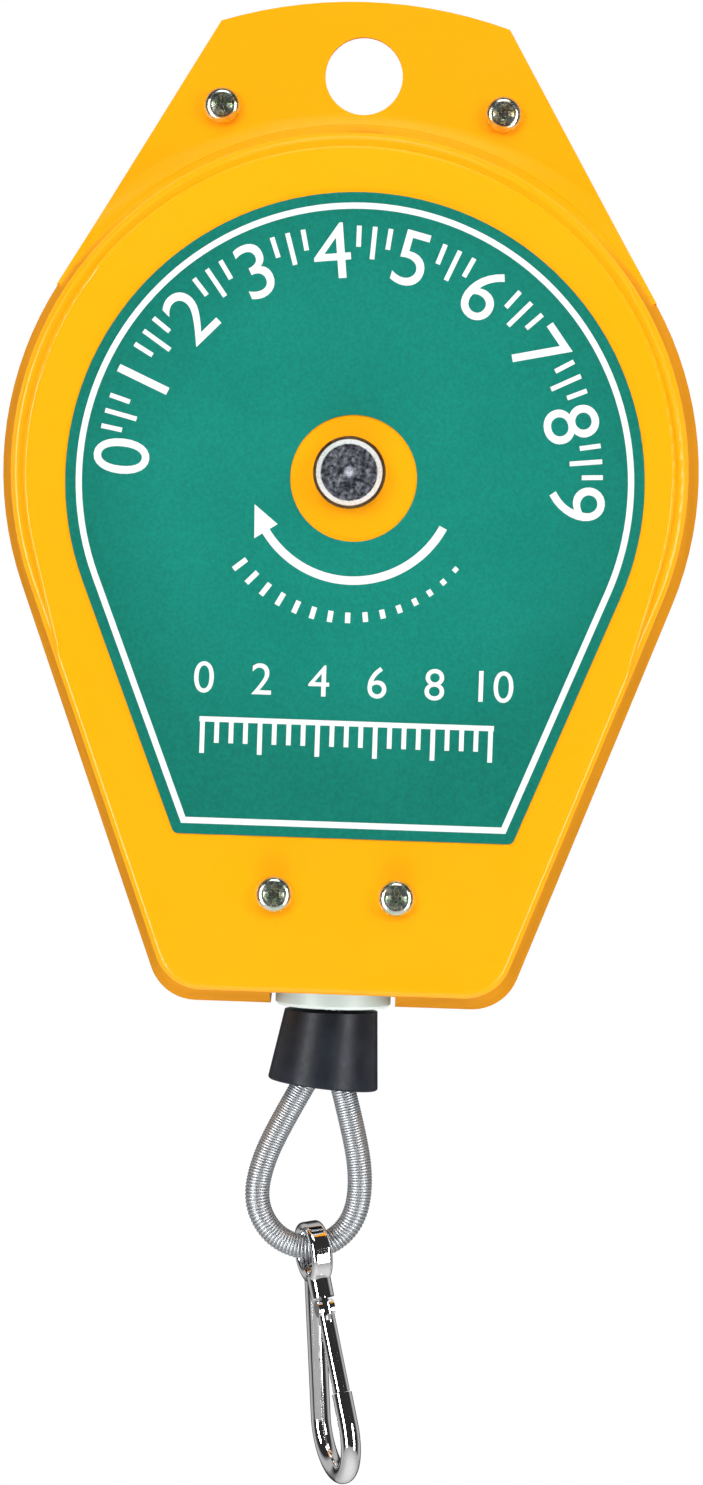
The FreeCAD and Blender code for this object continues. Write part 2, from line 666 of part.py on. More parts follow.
def seat_hook(shape):
    """Turn a piece from the hook's own upright frame into its place on the loop."""
    origin = Vector(0, 0, 0)
    shape.rotate(origin, Vector(0, 0, 1), HOOK_YAW)
    shape.rotate(origin, Vector(0, 1, 0), -HOOK_LEAN)
    shape.translate(Vector(EYE_CENTRE[0], 0, EYE_CENTRE[1]))
    return shape


def leg_tangent():
    """Direction of the rear leg, and where it runs into the bow."""
    start = Vector(0, NECK[0], NECK[1])
    to_bow = Vector(0, 0, BOW_Z) - start
    reach = math.sqrt(to_bow.Length ** 2 - BOW_R ** 2)
    lean = math.atan2(to_bow.y, -to_bow.z) + math.asin(BOW_R / to_bow.Length)
    way = Vector(0, math.sin(lean), -math.cos(lean))
    return way, start + way * reach


def mirror_y(v):
    return Vector(v.x, -v.y, v.z)


def front_leg_point(z):
    """A point on the front leg's line at a height."""
    way, _ = leg_tangent()
    start = Vector(0, NECK[0], NECK[1])
    return mirror_y(start + way * ((z - NECK[1]) / way.z))


def bar(radius, a, b):
    return Part.makeCylinder(radius, (b - a).Length, a, b - a)


def build_hook():
    across = Vector(1, 0, 0)
    eye = Part.makeCylinder(EYE_R + EYE_T, EYE_W, Vector(-EYE_W / 2, 0, 0), across)
    eye_hole = Part.makeCylinder(EYE_R, 2 * EYE_W, Vector(-EYE_W, 0, 0), across)
    eye = eye.cut(eye_hole)
    eye = eye.makeFillet(0.9, [e for e in eye.Edges if e.BoundBox.XLength < 0.01])
    way, into_bow = leg_tangent()
    start = Vector(0, NECK[0], NECK[1])
    nose = front_leg_point(NOSE_Z)
    wire = swept(HOOK_R, [
        line(start, into_bow),
        arc(into_bow, Vector(0, 0, BOW_Z - BOW_R), mirror_y(into_bow)),
        line(mirror_y(into_bow), nose),
    ])
    neck, collar_end = mirror_y(start), front_leg_point(COLLAR_END)
    rivet = front_leg_point(RIVET_Z)
    tongue_end = front_leg_point(RIVET_Z - TONGUE_W / 2)
    tongue = bar(TONGUE_W / 2, neck, tongue_end)
    slab = Part.makeBox(TONGUE_T, 20, 20, Vector(-TONGUE_T / 2, -10, tongue_end.z - 5))
    tongue = tongue.common(slab)
    hook = eye.fuse([wire, bar(COLLAR_R, neck, collar_end), tongue]).removeSplitter()
    pin = Part.makeCylinder(RIVET_R, 6, rivet - across * 3, across)
    save("snap_hook", seat_hook(hook.cut([pin, eye_hole])))
    save("gate_rivet", seat_hook(Part.makeCylinder(RIVET_R, 2 * GATE_R, rivet - across * GATE_R, across)))
    tip = nose + (rivet - nose).normalize() * GATE_GAP
    gate = bar(GATE_R, rivet, tip)
    knuckle = Part.makeCylinder(GATE_R, 2 * GATE_R, rivet - across * GATE_R, across)
    slot_half = TONGUE_T / 2 + 0.1
    slot_end = front_leg_point(RIVET_Z - TONGUE_W / 2 - 1.2)
    slot = Part.makeBox(2 * slot_half, 20, 20, Vector(-slot_half, -10, slot_end.z))
    hole = Part.makeCylinder(RIVET_R + 0.06, 6, rivet - across * 3, across)
    save("hook_gate", seat_hook(gate.fuse(knuckle).removeSplitter().cut([slot, hole])))
    print("rivet", seat_hook(Part.Vertex(rivet)).Point, "bow", seat_hook(Part.Vertex(0, 0, BOW_Z)).Point)


def build():
    os.makedirs("parts", exist_ok=True)
    build_shells()
    build_fasteners()
    build_label()
    build_shaft()
    build_ratchet()
    build_drum()
    build_rope()
    build_power_spring()
    build_guide()
    build_stop()
    build_loop()
    build_hook()


build()
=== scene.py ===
import json
import math

import bpy
import bmesh
from mathutils import Matrix, Vector


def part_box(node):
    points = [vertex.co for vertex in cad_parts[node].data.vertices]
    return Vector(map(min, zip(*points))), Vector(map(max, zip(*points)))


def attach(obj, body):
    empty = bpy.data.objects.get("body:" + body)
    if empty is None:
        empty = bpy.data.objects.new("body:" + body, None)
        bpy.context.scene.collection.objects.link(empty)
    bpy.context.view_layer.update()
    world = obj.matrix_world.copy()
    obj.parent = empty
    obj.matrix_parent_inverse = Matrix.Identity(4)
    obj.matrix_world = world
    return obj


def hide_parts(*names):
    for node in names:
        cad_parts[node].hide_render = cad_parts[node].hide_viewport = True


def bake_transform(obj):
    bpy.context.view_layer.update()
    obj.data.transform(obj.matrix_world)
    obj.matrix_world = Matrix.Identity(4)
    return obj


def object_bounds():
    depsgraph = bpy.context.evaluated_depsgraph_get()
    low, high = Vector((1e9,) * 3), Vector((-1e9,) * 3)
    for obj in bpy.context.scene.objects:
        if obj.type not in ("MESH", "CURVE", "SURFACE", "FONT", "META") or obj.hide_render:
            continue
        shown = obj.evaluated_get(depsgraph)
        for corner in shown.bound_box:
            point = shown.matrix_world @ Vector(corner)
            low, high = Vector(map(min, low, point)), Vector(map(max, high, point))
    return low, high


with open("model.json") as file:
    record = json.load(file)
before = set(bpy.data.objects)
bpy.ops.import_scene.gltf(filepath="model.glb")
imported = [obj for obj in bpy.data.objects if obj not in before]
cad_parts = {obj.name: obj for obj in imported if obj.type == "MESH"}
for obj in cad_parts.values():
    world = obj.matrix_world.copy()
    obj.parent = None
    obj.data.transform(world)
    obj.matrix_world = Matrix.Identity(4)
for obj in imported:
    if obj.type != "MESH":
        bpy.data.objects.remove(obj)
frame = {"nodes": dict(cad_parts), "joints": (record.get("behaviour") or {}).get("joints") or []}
CAD_LOW, CAD_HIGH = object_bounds()
NODES = frame["nodes"]
MM = 0.001

# A spring tool balancer that hangs in its own frame: the front faces -Y and +Z is up. Lengths are
# in metres, except the two routes. Angles on the label are in degrees from +X, counter-clockwise seen
# from the front.

# --- camera ---
AIM = Vector((0.0019, 0.0, -0.1290))
EYE = Vector((0.015, -1.2, -0.078))
VIEW_HEIGHT = 0.2887       # what the picture's height covers at the aim point
ROLL = math.radians(1.93)  # the housing hangs this much out of plumb
SENSOR = 36.0

# --- the cord's end loop: the route of part.py, in millimetres ---
LOOP_ROUTE = [
    (-3.6, 0, -193.0), (-9.1, 0, -203.1), (-12.9, 0, -211.8), (-13.9, 0, -219.3), (-10.5, 0, -225.5),
    (-4.5, 0, -228.2), (1.7, 0, -226.7), (5.9, 0, -221.6), (6.7, 0, -213.4), (4.5, 0, -203.2),
    (1.5, 0, -193.0),
]
CORE_D = 0.0045
SHEATH_D = 0.0048
WIRE_D = 0.0005            # the sheath is wound from this wire
WIRE_FLAT = 0.5            # the wire's thickness over its width
WIRE_SIDES = 8
WINDING_R = (SHEATH_D - WIRE_D * WIRE_FLAT) / 2
WINDING_GAP = 1.01         # the pitch on the inside of a bend, over the wire's width
WINDING_TIGHTEST = 0.4     # the least room on the inside of a bend, over that on a straight run
STEPS_PER_TURN = 20

# --- the straight rope, from the drum to the ferrule, in millimetres ---
LEAD_ROUTE = [(-33.2, 0.4, -96.1), (-4.0, 0.05, -147.1), (0, 0, -154.0), (0, 0, -162.0), (0, 0, -186.5)]
ROPE_R = 0.0015
ROPE_STRANDS = 6
ROPE_LAY = 0.020           # a strand goes once round the rope in this length

# --- label ---
LABEL_LOW, LABEL_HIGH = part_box("front_label")
LABEL_R = (LABEL_HIGH.x - LABEL_LOW.x) / 2
LABEL_X = (LABEL_HIGH.x + LABEL_LOW.x) / 2
LABEL_Z = LABEL_HIGH.z - LABEL_R
LABEL_FLANK = 21.7         # the two straight sides lean in by this many degrees
# painted shade: the foil is darkened between these distances from its centre
LABEL_SHADE_FADE = (0.036, 0.056)    # the foil darkens between these distances from its centre
PRINT_T = 0.00003
PRINT_Y = LABEL_LOW.y - PRINT_T
BORDER_INSET = 0.0020
BORDER_W = 0.00118

# --- the dial of numerals ---
DIAL_CENTRE = (0.0, -0.0780)
DIAL_R = (0.0389, 0.0483)      # the band that the numerals fill
DIAL_ANGLES = (176.0, -4.0)
DIAL_NUMERALS = 10
DIAL_TICKS = [(0.32, 0.0040), (0.50, 0.0062), (0.68, 0.0040)]  # place between two numerals, length
FONT_OVER_HEIGHT = 1.62        # a font's size over the height of its numerals
TICK_W = 0.0009

# --- the arrow round the shaft, and its growing ticks ---
HOLE_CENTRE = (0.00085, -0.0777)
ARROW_R = 0.0195
ARROW_W = 0.0016
ARROW_TAIL = -27.0
ARROW_HEAD = -147.0
ARROW_TIP = -163.4
ARROW_HALF = 0.0026
TURN_TICKS = (-40.0, -141.0, 15)       # from, to, how many
TURN_TICK_R = (0.0256, 0.0287)
TURN_TICK_W = 0.0010
TURN_TICK_LEAST = 0.3                  # the shortest tick over the longest

# --- the ruled scale ---
RULE_NUMERALS = (0, 2, 4, 6, 8, 10)
RULE_NUMERALS_Z = -0.1165
RULE_FONT = 0.0086
RULE_HALF = 0.0275
RULE_Z = (-0.1250, -0.1240)            # the bar's two edges
RULE_OVERHANG = 0.0006
RULE_STEPS = 20
RULE_TICKS = (0.0060, 0.0040)          # every fourth tick, and the others

# --- the shaft's front end, for the highlight painted on its bevel and centre mark ---
SHAFT_Z = -0.0766
CENTRE_MARK_R = (0.0007, 0.00112)
BEVEL_R = (0.0053, 0.00625)
SHAFT_SPAN = 0.0080

# --- stage ---
FLOOR_HALF = 2.4
FLOOR_GAP = 0.06           # under the hook when the rope is all out
FLOOR_GLOW = 0.45
LAMP_TARGET = Vector((0.0, 0.0, -0.10))
AMBIENT = 0.38
# What metal sees of the studio, by the direction's Y: dark in front, grey in a ring behind the sides,
# and dark straight behind.
STUDIO = [(-1.0, 0.03), (-0.05, 0.03), (0.30, 0.50), (0.66, 0.50), (0.84, 0.03), (1.0, 0.03)]


# ---------------------------------------------------------------- camera

def make_camera():
    data = bpy.data.cameras.new("camera")
    data.sensor_width = SENSOR
    camera = bpy.data.objects.new("camera", data)
    bpy.context.scene.collection.objects.link(camera)
    away = EYE - AIM
    data.lens = SENSOR * away.length / VIEW_HEIGHT
    turn = away.to_track_quat("Z", "Y").to_matrix().to_4x4()
    camera.matrix_world = Matrix.Translation(EYE) @ turn @ Matrix.Rotation(ROLL, 4, "Z")
    bpy.context.scene.camera = camera


# ---------------------------------------------------------------- small helpers

def link(data, name):
    piece = bpy.data.objects.new(name, data)
    bpy.context.scene.collection.objects.link(piece)
    return piece


def from_bmesh(bm, name, smooth=False):
    bmesh.ops.recalc_face_normals(bm, faces=bm.faces)
    mesh = bpy.data.meshes.new(name)
    bm.to_mesh(mesh)
    bm.free()
    for face in mesh.polygons:
        face.use_smooth = smooth
    return link(mesh, name)


def paint(piece, material):
    piece.data.materials.clear()
    piece.data.materials.append(material)
    return piece


def turn_point(x, z, radius, degrees):
    """The point at a radius and an angle round (x, z)."""
    a = math.radians(degrees)
    return x + radius * math.cos(a), z + radius * math.sin(a)


# ---------------------------------------------------------------- materials

class Nodes:
    """Makes and joins the nodes of one tree. A value is a number, a colour or a node's output."""

    def __init__(self, tree):
        self.tree = tree

    def node(self, kind, operation=None, **inputs):
        made = self.tree.nodes.new(kind)
        if operation:
            made.operation = operation
        for key, value in inputs.items():
            made.inputs[key.replace("_", " ")].default_value = value
        return made

    def wire(self, out, to):
        self.tree.links.new(out, to)

    def feed(self, sockets, values):
        for socket, value in zip(sockets, values):
            if isinstance(value, bpy.types.NodeSocket):
                self.wire(value, socket)
            else:
                socket.default_value = value

    def maths(self, operation, *values):
        made = self.node("ShaderNodeMath", operation)
        self.feed(made.inputs, values)
        return made.outputs[0]

    def choose(self, factor, a, b):
        """The number a where factor is 0, and b where it is 1."""
        made = self.node("ShaderNodeMix")
        self.feed([made.inputs[i] for i in (0, 2, 3)], (factor, a, b))
        return made.outputs[0]

    def mix(self, factor, a, b, blend="MIX"):
        """A mix of two colours."""
        made = self.node("ShaderNodeMix")
        made.data_type = "RGBA"
        made.blend_type = blend
        self.feed([made.inputs[i] for i in (0, 6, 7)], (factor, a, b))
        return made.outputs[2]

    def ramp(self, factor, stops):
        made = self.node("ShaderNodeValToRGB")
        ramp = made.color_ramp
        while len(ramp.elements) < len(stops):
            ramp.elements.new(0.5)
        for element, (at, colour) in zip(ramp.elements, stops):
            element.position = at
            element.color = (*colour, 1.0)
        self.wire(factor, made.inputs["Fac"])
        return made.outputs["Color"]

    def spread(self, factor, low, high, start=0.3, end=0.7):
        """Maps start to low and end to high, and stays between them."""
        made = self.node("ShaderNodeMapRange")
        names = ("Value", "From Min", "From Max", "To Min", "To Max")
        self.feed([made.inputs[name] for name in names], (factor, start, end, low, high))
        return made.outputs["Result"]

    def seen(self):
        """1 where the eye sees it, straight or through glass, and 0 where it only gives light."""
        path = self.node("ShaderNodeLightPath")
        return self.maths("MAXIMUM", path.outputs["Is Camera Ray"], path.outputs["Is Transmission Ray"])


class Finish(Nodes):
    """A node material built round one Principled shader."""

    def __init__(self, name, colour, rough, metal=0.0):
        self.material = bpy.data.materials.new(name)
        self.material.use_nodes = True
        super().__init__(self.material.node_tree)
        self.shader = self.tree.nodes["Principled BSDF"]
        self.set("Base Color", (*colour, 1.0))
        self.set("Roughness", rough)
        self.set("Metallic", metal)
        self.place = self.node("ShaderNodeTexCoord").outputs["Object"]

    def set(self, socket, value):
        self.shader.inputs[socket].default_value = value

    def noise(self, scale, detail=2.0):
        made = self.node("ShaderNodeTexNoise", Scale=scale, Detail=detail)
        self.wire(self.place, made.inputs["Vector"])
        return made.outputs["Fac"]

    def tint(self, colour):
        self.wire(colour, self.shader.inputs["Base Color"])

    def cloud(self, scale, stops, detail=2.0):
        """Colours that change softly over the surface."""
        self.tint(self.ramp(self.noise(scale, detail), stops))

    def uneven(self, scale, low, high, detail=2.0):
        """A roughness that changes softly between two values."""
        self.wire(self.spread(self.noise(scale, detail), low, high), self.shader.inputs["Roughness"])

    def bump(self, height, depth, strength):
        made = self.node("ShaderNodeBump", Strength=strength, Distance=depth)
        self.wire(height, made.inputs["Height"])
        self.wire(made.outputs["Normal"], self.shader.inputs["Normal"])

    def grain(self, scale, depth, strength, detail=2.0):
        self.bump(self.noise(scale, detail), depth, strength)


def yellow_paint():
    m = Finish("yellow_paint", (0.95, 0.36, 0.002), 0.28)
    m.cloud(18.0, [(0.3, (0.945, 0.353, 0.002)), (0.7, (0.955, 0.368, 0.003))], detail=3.0)
    m.uneven(60.0, 0.18, 0.24, detail=4.0)
    m.set("Specular IOR Level", 0.22)
    m.grain(900.0, depth=0.00002, strength=0.35)
    return m.material


def label_foil():
    """Green printed foil with a fine grain, and shade painted on it that darkens it a little towards its
    edge.
    """
    m = Finish("label_foil", (0.003, 0.205, 0.153), 0.36)
    m.set("Specular IOR Level", 0.18)
    green = m.ramp(m.noise(45.0, 3.0), [(0.25, (0.002, 0.192, 0.145)), (0.75, (0.005, 0.222, 0.168))])
    grain = m.ramp(m.noise(1500.0), [(0.3, (0.80, 0.80, 0.80)), (0.7, (1.0, 1.0, 1.0))])
    # painted shade: darker with the distance from the label's centre, down to about 0.8 at its edge
    out = m.node("ShaderNodeVectorMath", "DISTANCE")
    m.feed(out.inputs, (m.place, (LABEL_X, LABEL_LOW.y, LABEL_Z)))
    shade_fade = m.spread(out.outputs["Value"], 0.0, 1.0, *LABEL_SHADE_FADE)
    edge = m.ramp(shade_fade, [(0.0, (1.0, 1.0, 1.0)), (1.0, (0.78, 0.80, 0.78))])
    m.tint(m.mix(1.0, m.mix(1.0, green, grain, "MULTIPLY"), edge, "MULTIPLY"))
    m.grain(1500.0, depth=0.00002, strength=0.3)
    return m.material


def white_ink():
    m = Finish("white_ink", (0.72, 0.76, 0.74), 0.45)
    m.cloud(400.0, [(0.3, (0.70, 0.75, 0.73)), (0.7, (0.74, 0.78, 0.77))])
    return m.material


def zinc_plate():
    """Zinc with the green and amber tints of its passivation."""
    m = Finish("zinc_plate", (0.70, 0.70, 0.64), 0.22, 1.0)
    amber, plain = (0.72, 0.60, 0.34), (0.78, 0.77, 0.70)
    green, warm = (0.60, 0.74, 0.60), (0.75, 0.62, 0.40)
    m.cloud(420.0, [(0.30, amber), (0.45, plain), (0.6, green), (0.75, warm)])
    m.uneven(1500.0, 0.16, 0.30)
    return m.material


def turned_steel():
    """Dull steel, with a highlight painted on its bevel and in the mark of the lathe's centre on the end
    face.
    """
    m = Finish("turned_steel", (0.36, 0.37, 0.41), 0.32, 1.0)
    mottle = m.noise(1500.0, 4.0)
    dark, middle, light = (0.20, 0.21, 0.26), (0.38, 0.40, 0.47), (0.60, 0.62, 0.70)
    steel = m.ramp(mottle, [(0.3, dark), (0.55, middle), (0.75, light)])
    bright = bright_rings(m)
    # painted highlight: pale grey, and less metallic, on the bevel and in the centre mark
    m.tint(m.mix(bright, steel, (0.80, 0.82, 0.85, 1.0)))
    m.wire(m.spread(bright, 1.0, 0.25, 0.0, 1.0), m.shader.inputs["Metallic"])
    m.wire(m.spread(mottle, 0.22, 0.42), m.shader.inputs["Roughness"])
    m.bump(mottle, depth=0.00006, strength=0.5)
    return m.material


def bright_rings(m):
    """1 on the shaft's bevel and in its centre mark, where the highlight is painted, and 0 elsewhere."""
    away = m.node("ShaderNodeVectorMath", "MULTIPLY_ADD")
    m.feed(away.inputs, (m.place, (1.0, 0.0, 1.0), (0.0, 0.0, -SHAFT_Z)))
    radius = m.node("ShaderNodeVectorMath", "LENGTH")
    m.wire(away.outputs[0], radius.inputs[0])
    mark, mark_end = CENTRE_MARK_R
    start, end = BEVEL_R
    edge = 0.0001
    stops = [(0.0, 1.0), (mark, 0.5), (mark_end, 0.0), (start, 0.0), (start + 2 * edge, 1.0),
             (end, 1.0), (end + edge, 0.0)]
    greys = [(r / SHAFT_SPAN, (grey, grey, grey)) for r, grey in stops]
    return m.ramp(m.spread(radius.outputs["Value"], 0.0, 1.0, 0.0, SHAFT_SPAN), greys)


def plain_metal(name, colour, rough, metal=1.0):
    m = Finish(name, colour, rough, metal)
    dark = tuple(0.86 * c for c in colour)
    m.cloud(300.0, [(0.3, dark), (0.7, colour)], detail=3.0)
    m.uneven(1200.0, 0.8 * rough, 1.25 * rough)
    m.grain(1200.0, depth=0.00002, strength=0.4, detail=3.0)
    return m.material


def chrome():
    m = Finish("chrome", (0.86, 0.86, 0.87), 0.045, 1.0)
    m.uneven(300.0, 0.03, 0.07)
    m.grain(140.0, depth=0.0002, strength=0.10)
    return m.material


def nylon():
    m = Finish("nylon", (0.74, 0.81, 0.78), 0.42)
    m.cloud(90.0, [(0.3, (0.68, 0.76, 0.73)), (0.7, (0.72, 0.80, 0.77))])
    m.set("Subsurface Weight", 0.15)
    m.set("Subsurface Radius", (0.004, 0.004, 0.003))
    m.grain(700.0, depth=0.00002, strength=0.3)
    return m.material


def black_rubber():
    m = Finish("black_rubber", (0.012, 0.015, 0.022), 0.40)
    m.cloud(250.0, [(0.3, (0.009, 0.011, 0.016)), (0.7, (0.015, 0.019, 0.028))], detail=4.0)
    m.set("Specular IOR Level", 0.20)
    m.uneven(900.0, 0.34, 0.46, detail=3.0)
    m.grain(2200.0, depth=0.00003, strength=0.5, detail=3.0)
    return m.material


def wire_rope():
    """Strands that wind round the rope where it hangs straight, with shade painted nearly black into the
    grooves between them.
    """
    m = Finish("wire_rope", (0.52, 0.52, 0.53), 0.34, 1.0)
    split = m.node("ShaderNodeSeparateXYZ")
    m.wire(m.place, split.inputs["Vector"])
    angle = m.maths("ARCTAN2", split.outputs["Y"], split.outputs["X"])
    round_it = m.maths("MULTIPLY", angle, float(ROPE_STRANDS))
    waves_per_metre = ROPE_STRANDS * 2 * math.pi / ROPE_LAY
    wave = m.maths("SINE", m.maths("MULTIPLY_ADD", split.outputs["Z"], waves_per_metre, round_it))
    crest = m.spread(wave, 0.0, 1.0, -1.0, 0.4)
    # painted shade: the grooves between the strands are coloured nearly black, the crests light grey
    m.tint(m.ramp(crest, [(0.0, (0.08, 0.08, 0.09)), (1.0, (0.62, 0.62, 0.63))]))
    m.bump(wave, depth=0.0003, strength=0.8)
    return m.material


def sheath_wire():
    m = Finish("sheath_wire", (0.47, 0.49, 0.51), 0.48, 1.0)
    m.uneven(600.0, 0.45, 0.51)
    return m.material


def core_rope():
    m = Finish("core_rope", (0.30, 0.31, 0.32), 0.48, 1.0)
    m.grain(1500.0, depth=0.0001, strength=0.6)
    return m.material


def make_materials():
    """Gives each CAD node its finish."""
    yellow, zinc, steel, rope, bright = yellow_paint(), zinc_plate(), turned_steel(), wire_rope(), chrome()
    cast = plain_metal("die_cast", (0.62, 0.63, 0.64), 0.42)
    bronze = plain_metal("bronze", (0.55, 0.40, 0.20), 0.38)
    cut_steel = plain_metal("cut_steel", (0.40, 0.40, 0.41), 0.34, metal=0.6)
    pawl_steel = plain_metal("pawl_steel", (0.36, 0.36, 0.37), 0.34, metal=0.6)
    spring_steel = plain_metal("spring_steel", (0.22, 0.26, 0.33), 0.30)
    ferrule_metal = plain_metal("ferrule_metal", (0.60, 0.61, 0.62), 0.36)
    finish = {
        "front_shell": yellow, "rear_shell": yellow, "front_label": label_foil(),
        "top_screws": zinc, "bottom_screws": zinc, "housing_nuts": zinc, "cover_screws": zinc,
        "pawl_pivot": zinc, "rear_washer": zinc, "retaining_clip": steel, "shaft": steel,
        "ratchet_wheel": cut_steel, "pawl": pawl_steel, "power_spring": spring_steel,
        "shaft_bushes": bronze, "drum_bushes": bronze, "drum": cast, "drum_cover": cast,
        "wound_rope": rope, "lead_rope": rope, "ferrule": ferrule_metal,
        "rope_guide": nylon(), "rubber_stop": black_rubber(),
        "snap_hook": bright, "hook_gate": bright, "gate_rivet": bright,
    }
    for node, material in finish.items():
        paint(NODES[node], material)


# ---------------------------------------------------------------- cord and rope

def rope_spline(name, route, radius, steps=24):
    """A route in millimetres as one open NURBS curve through its control points."""
    curve = bpy.data.curves.new(name, "CURVE")
    curve.dimensions = "3D"
    curve.resolution_u = steps
    curve.bevel_depth = radius
    curve.bevel_resolution = 6
    curve.use_fill_caps = True
    spline = curve.splines.new("NURBS")
    spline.points.add(len(route) - 1)
    for point, (x, y, z) in zip(spline.points, route):
        point.co = (x * MM, y * MM, z * MM, 1.0)
    spline.order_u = 3
    spline.use_endpoint_u = True
    return link(curve, name)


def spline_mesh(name, route, radius, steps=24):
    """The mesh that such a curve gives: a tube, or a bare line if its radius is 0."""
    curve = rope_spline(name, route, radius, steps)
    mesh = bpy.data.meshes.new_from_object(curve)
    bpy.data.objects.remove(curve)
    return mesh


def turns_along(points):
    """The winding's angle at each point: the wire lies close on the inside of each bend and opens outside."""
    angle, angles = 0.0, [0.0]
    for k in range(1, len(points)):
        before = points[k] - points[k - 1]
        bend = 0.0
        if k < len(points) - 1:
            after = points[k + 1] - points[k]
            bend = before.angle(after) / ((before.length + after.length) / 2)
        room = max(1 - WINDING_R * bend, WINDING_TIGHTEST)
        angle += 2 * math.pi * before.length * room / (WINDING_GAP * WIRE_D)
        angles.append(angle)
    return angles


def wire_places(points):
    """Steps along the wire: its centre, the way outwards from the loop's line, and that line's way."""
    angles = turns_along(points)
    total = angles[-1]
    count = int(total / (2 * math.pi) * STEPS_PER_TURN)
    side = Vector((0, 1, 0))
    k = 0
    for i in range(count + 1):
        a = total * i / count
        while k < len(angles) - 2 and angles[k + 1] < a:
            k += 1
        share = (a - angles[k]) / (angles[k + 1] - angles[k])
        centre = points[k].lerp(points[k + 1], share)
        way = (points[k + 1] - points[k]).normalized()
        out = side * math.cos(a) + way.cross(side) * math.sin(a)
        yield centre + out * WINDING_R, out, way


def build_sheath(points):
    """The close-wound wire that covers the loop."""
    bm = bmesh.new()
    rings = []
    for centre, out, way in wire_places(points):
        ring = []
        for j in range(WIRE_SIDES):
            t = 2 * math.pi * j / WIRE_SIDES
            offset = out * math.cos(t) * WIRE_FLAT + way * math.sin(t)
            ring.append(bm.verts.new(centre + offset * WIRE_D / 2))
        rings.append(ring)
    for a, b in zip(rings, rings[1:]):
        for j in range(WIRE_SIDES):
            n = (j + 1) % WIRE_SIDES
            bm.faces.new((a[j], a[n], b[n], b[j]))
    bm.faces.new(reversed(rings[0]))
    bm.faces.new(rings[-1])
    return from_bmesh(bm, "loop_sheath", smooth=True)


def build_cord():
    """The rope's end loop: a core, and the sheath that stands for the CAD tube."""
    line = spline_mesh("line", LOOP_ROUTE, 0.0)
    points = [v.co.copy() for v in line.vertices]
    bpy.data.meshes.remove(line)
    sheath = paint(build_sheath(points), sheath_wire())
    core = rope_spline("loop_core", LOOP_ROUTE, CORE_D / 2)
    core.data.materials.append(core_rope())
    for piece in (sheath, core):
        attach(piece, "rope_end")
    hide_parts("rope_loop")
    [tuple(p) for p in points]


def build_pulled_rope():
    """The straight rope from the drum to the ferrule, as a tube along its route in place of the CAD rope."""
    rope = link(spline_mesh("pulled_rope", LEAD_ROUTE, ROPE_R, steps=96), "pulled_rope")
    paint(rope, wire_rope())
    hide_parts("lead_rope")
    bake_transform(rope)


# ---------------------------------------------------------------- print on the label

def label_outline(inset, steps=96):
    """The label's outline moved inwards, as (x, z) points."""
    first = 180 + LABEL_FLANK
    sweep = 180 + 2 * LABEL_FLANK
    radius = LABEL_R - inset
    points = [turn_point(LABEL_X, LABEL_Z, radius, first - sweep * k / steps) for k in range(steps + 1)]
    side_x, side_z = points[-1]
    foot_z = LABEL_LOW.z + inset
    half = side_x - LABEL_X - (side_z - foot_z) * math.tan(math.radians(LABEL_FLANK))
    return points + [(LABEL_X + half, foot_z), (LABEL_X - half, foot_z)]


def prism(bm, outline):
    """A thin plate with that outline, standing out from the label."""
    front = [bm.verts.new((x, PRINT_Y, z)) for x, z in outline]
    back = [bm.verts.new((x, PRINT_Y + PRINT_T, z)) for x, z in outline]
    bm.faces.new(front)
    bm.faces.new(list(reversed(back)))
    for k in range(len(outline)):
        n = (k + 1) % len(outline)
        bm.faces.new((front[n], front[k], back[k], back[n]))


def ring_prism(bm, outer, inner):
    """The band between two outlines with the same number of points."""
    loops = []
    for y in (PRINT_Y, PRINT_Y + PRINT_T):
        loops.append([[bm.verts.new((x, y, z)) for x, z in line] for line in (outer, inner)])
    (fo, fi), (bo, bi) = loops
    for k in range(len(outer)):
        n = (k + 1) % len(outer)
        bm.faces.new((fo[k], fo[n], fi[n], fi[k]))
        bm.faces.new((bi[k], bi[n], bo[n], bo[k]))
        bm.faces.new((fo[n], fo[k], bo[k], bo[n]))
        bm.faces.new((fi[k], fi[n], bi[n], bi[k]))


def arc_band(bm, centre, radius, width, start, end, steps=64):
    """A stroke along an arc."""
    outer, inner = [], []
    for k in range(steps + 1):
        a = start + (end - start) * k / steps
        outer.append(turn_point(*centre, radius + width / 2, a))
        inner.append(turn_point(*centre, radius - width / 2, a))
    for k in range(steps):
        prism(bm, [outer[k], outer[k + 1], inner[k + 1], inner[k]])


def radial_tick(bm, centre, degrees, inner, outer, width):
    """A short stroke that points to the centre."""
    a = math.radians(degrees)
    out = Vector((math.cos(a), math.sin(a)))
    side = Vector((-math.sin(a), math.cos(a))) * width / 2
    corners = [out * inner + side, out * inner - side, out * outer - side, out * outer + side]
    prism(bm, [tuple(Vector(centre) + c) for c in corners])


def block(bm, left, right, low, high):
    prism(bm, [(left, low), (right, low), (right, high), (left, high)])


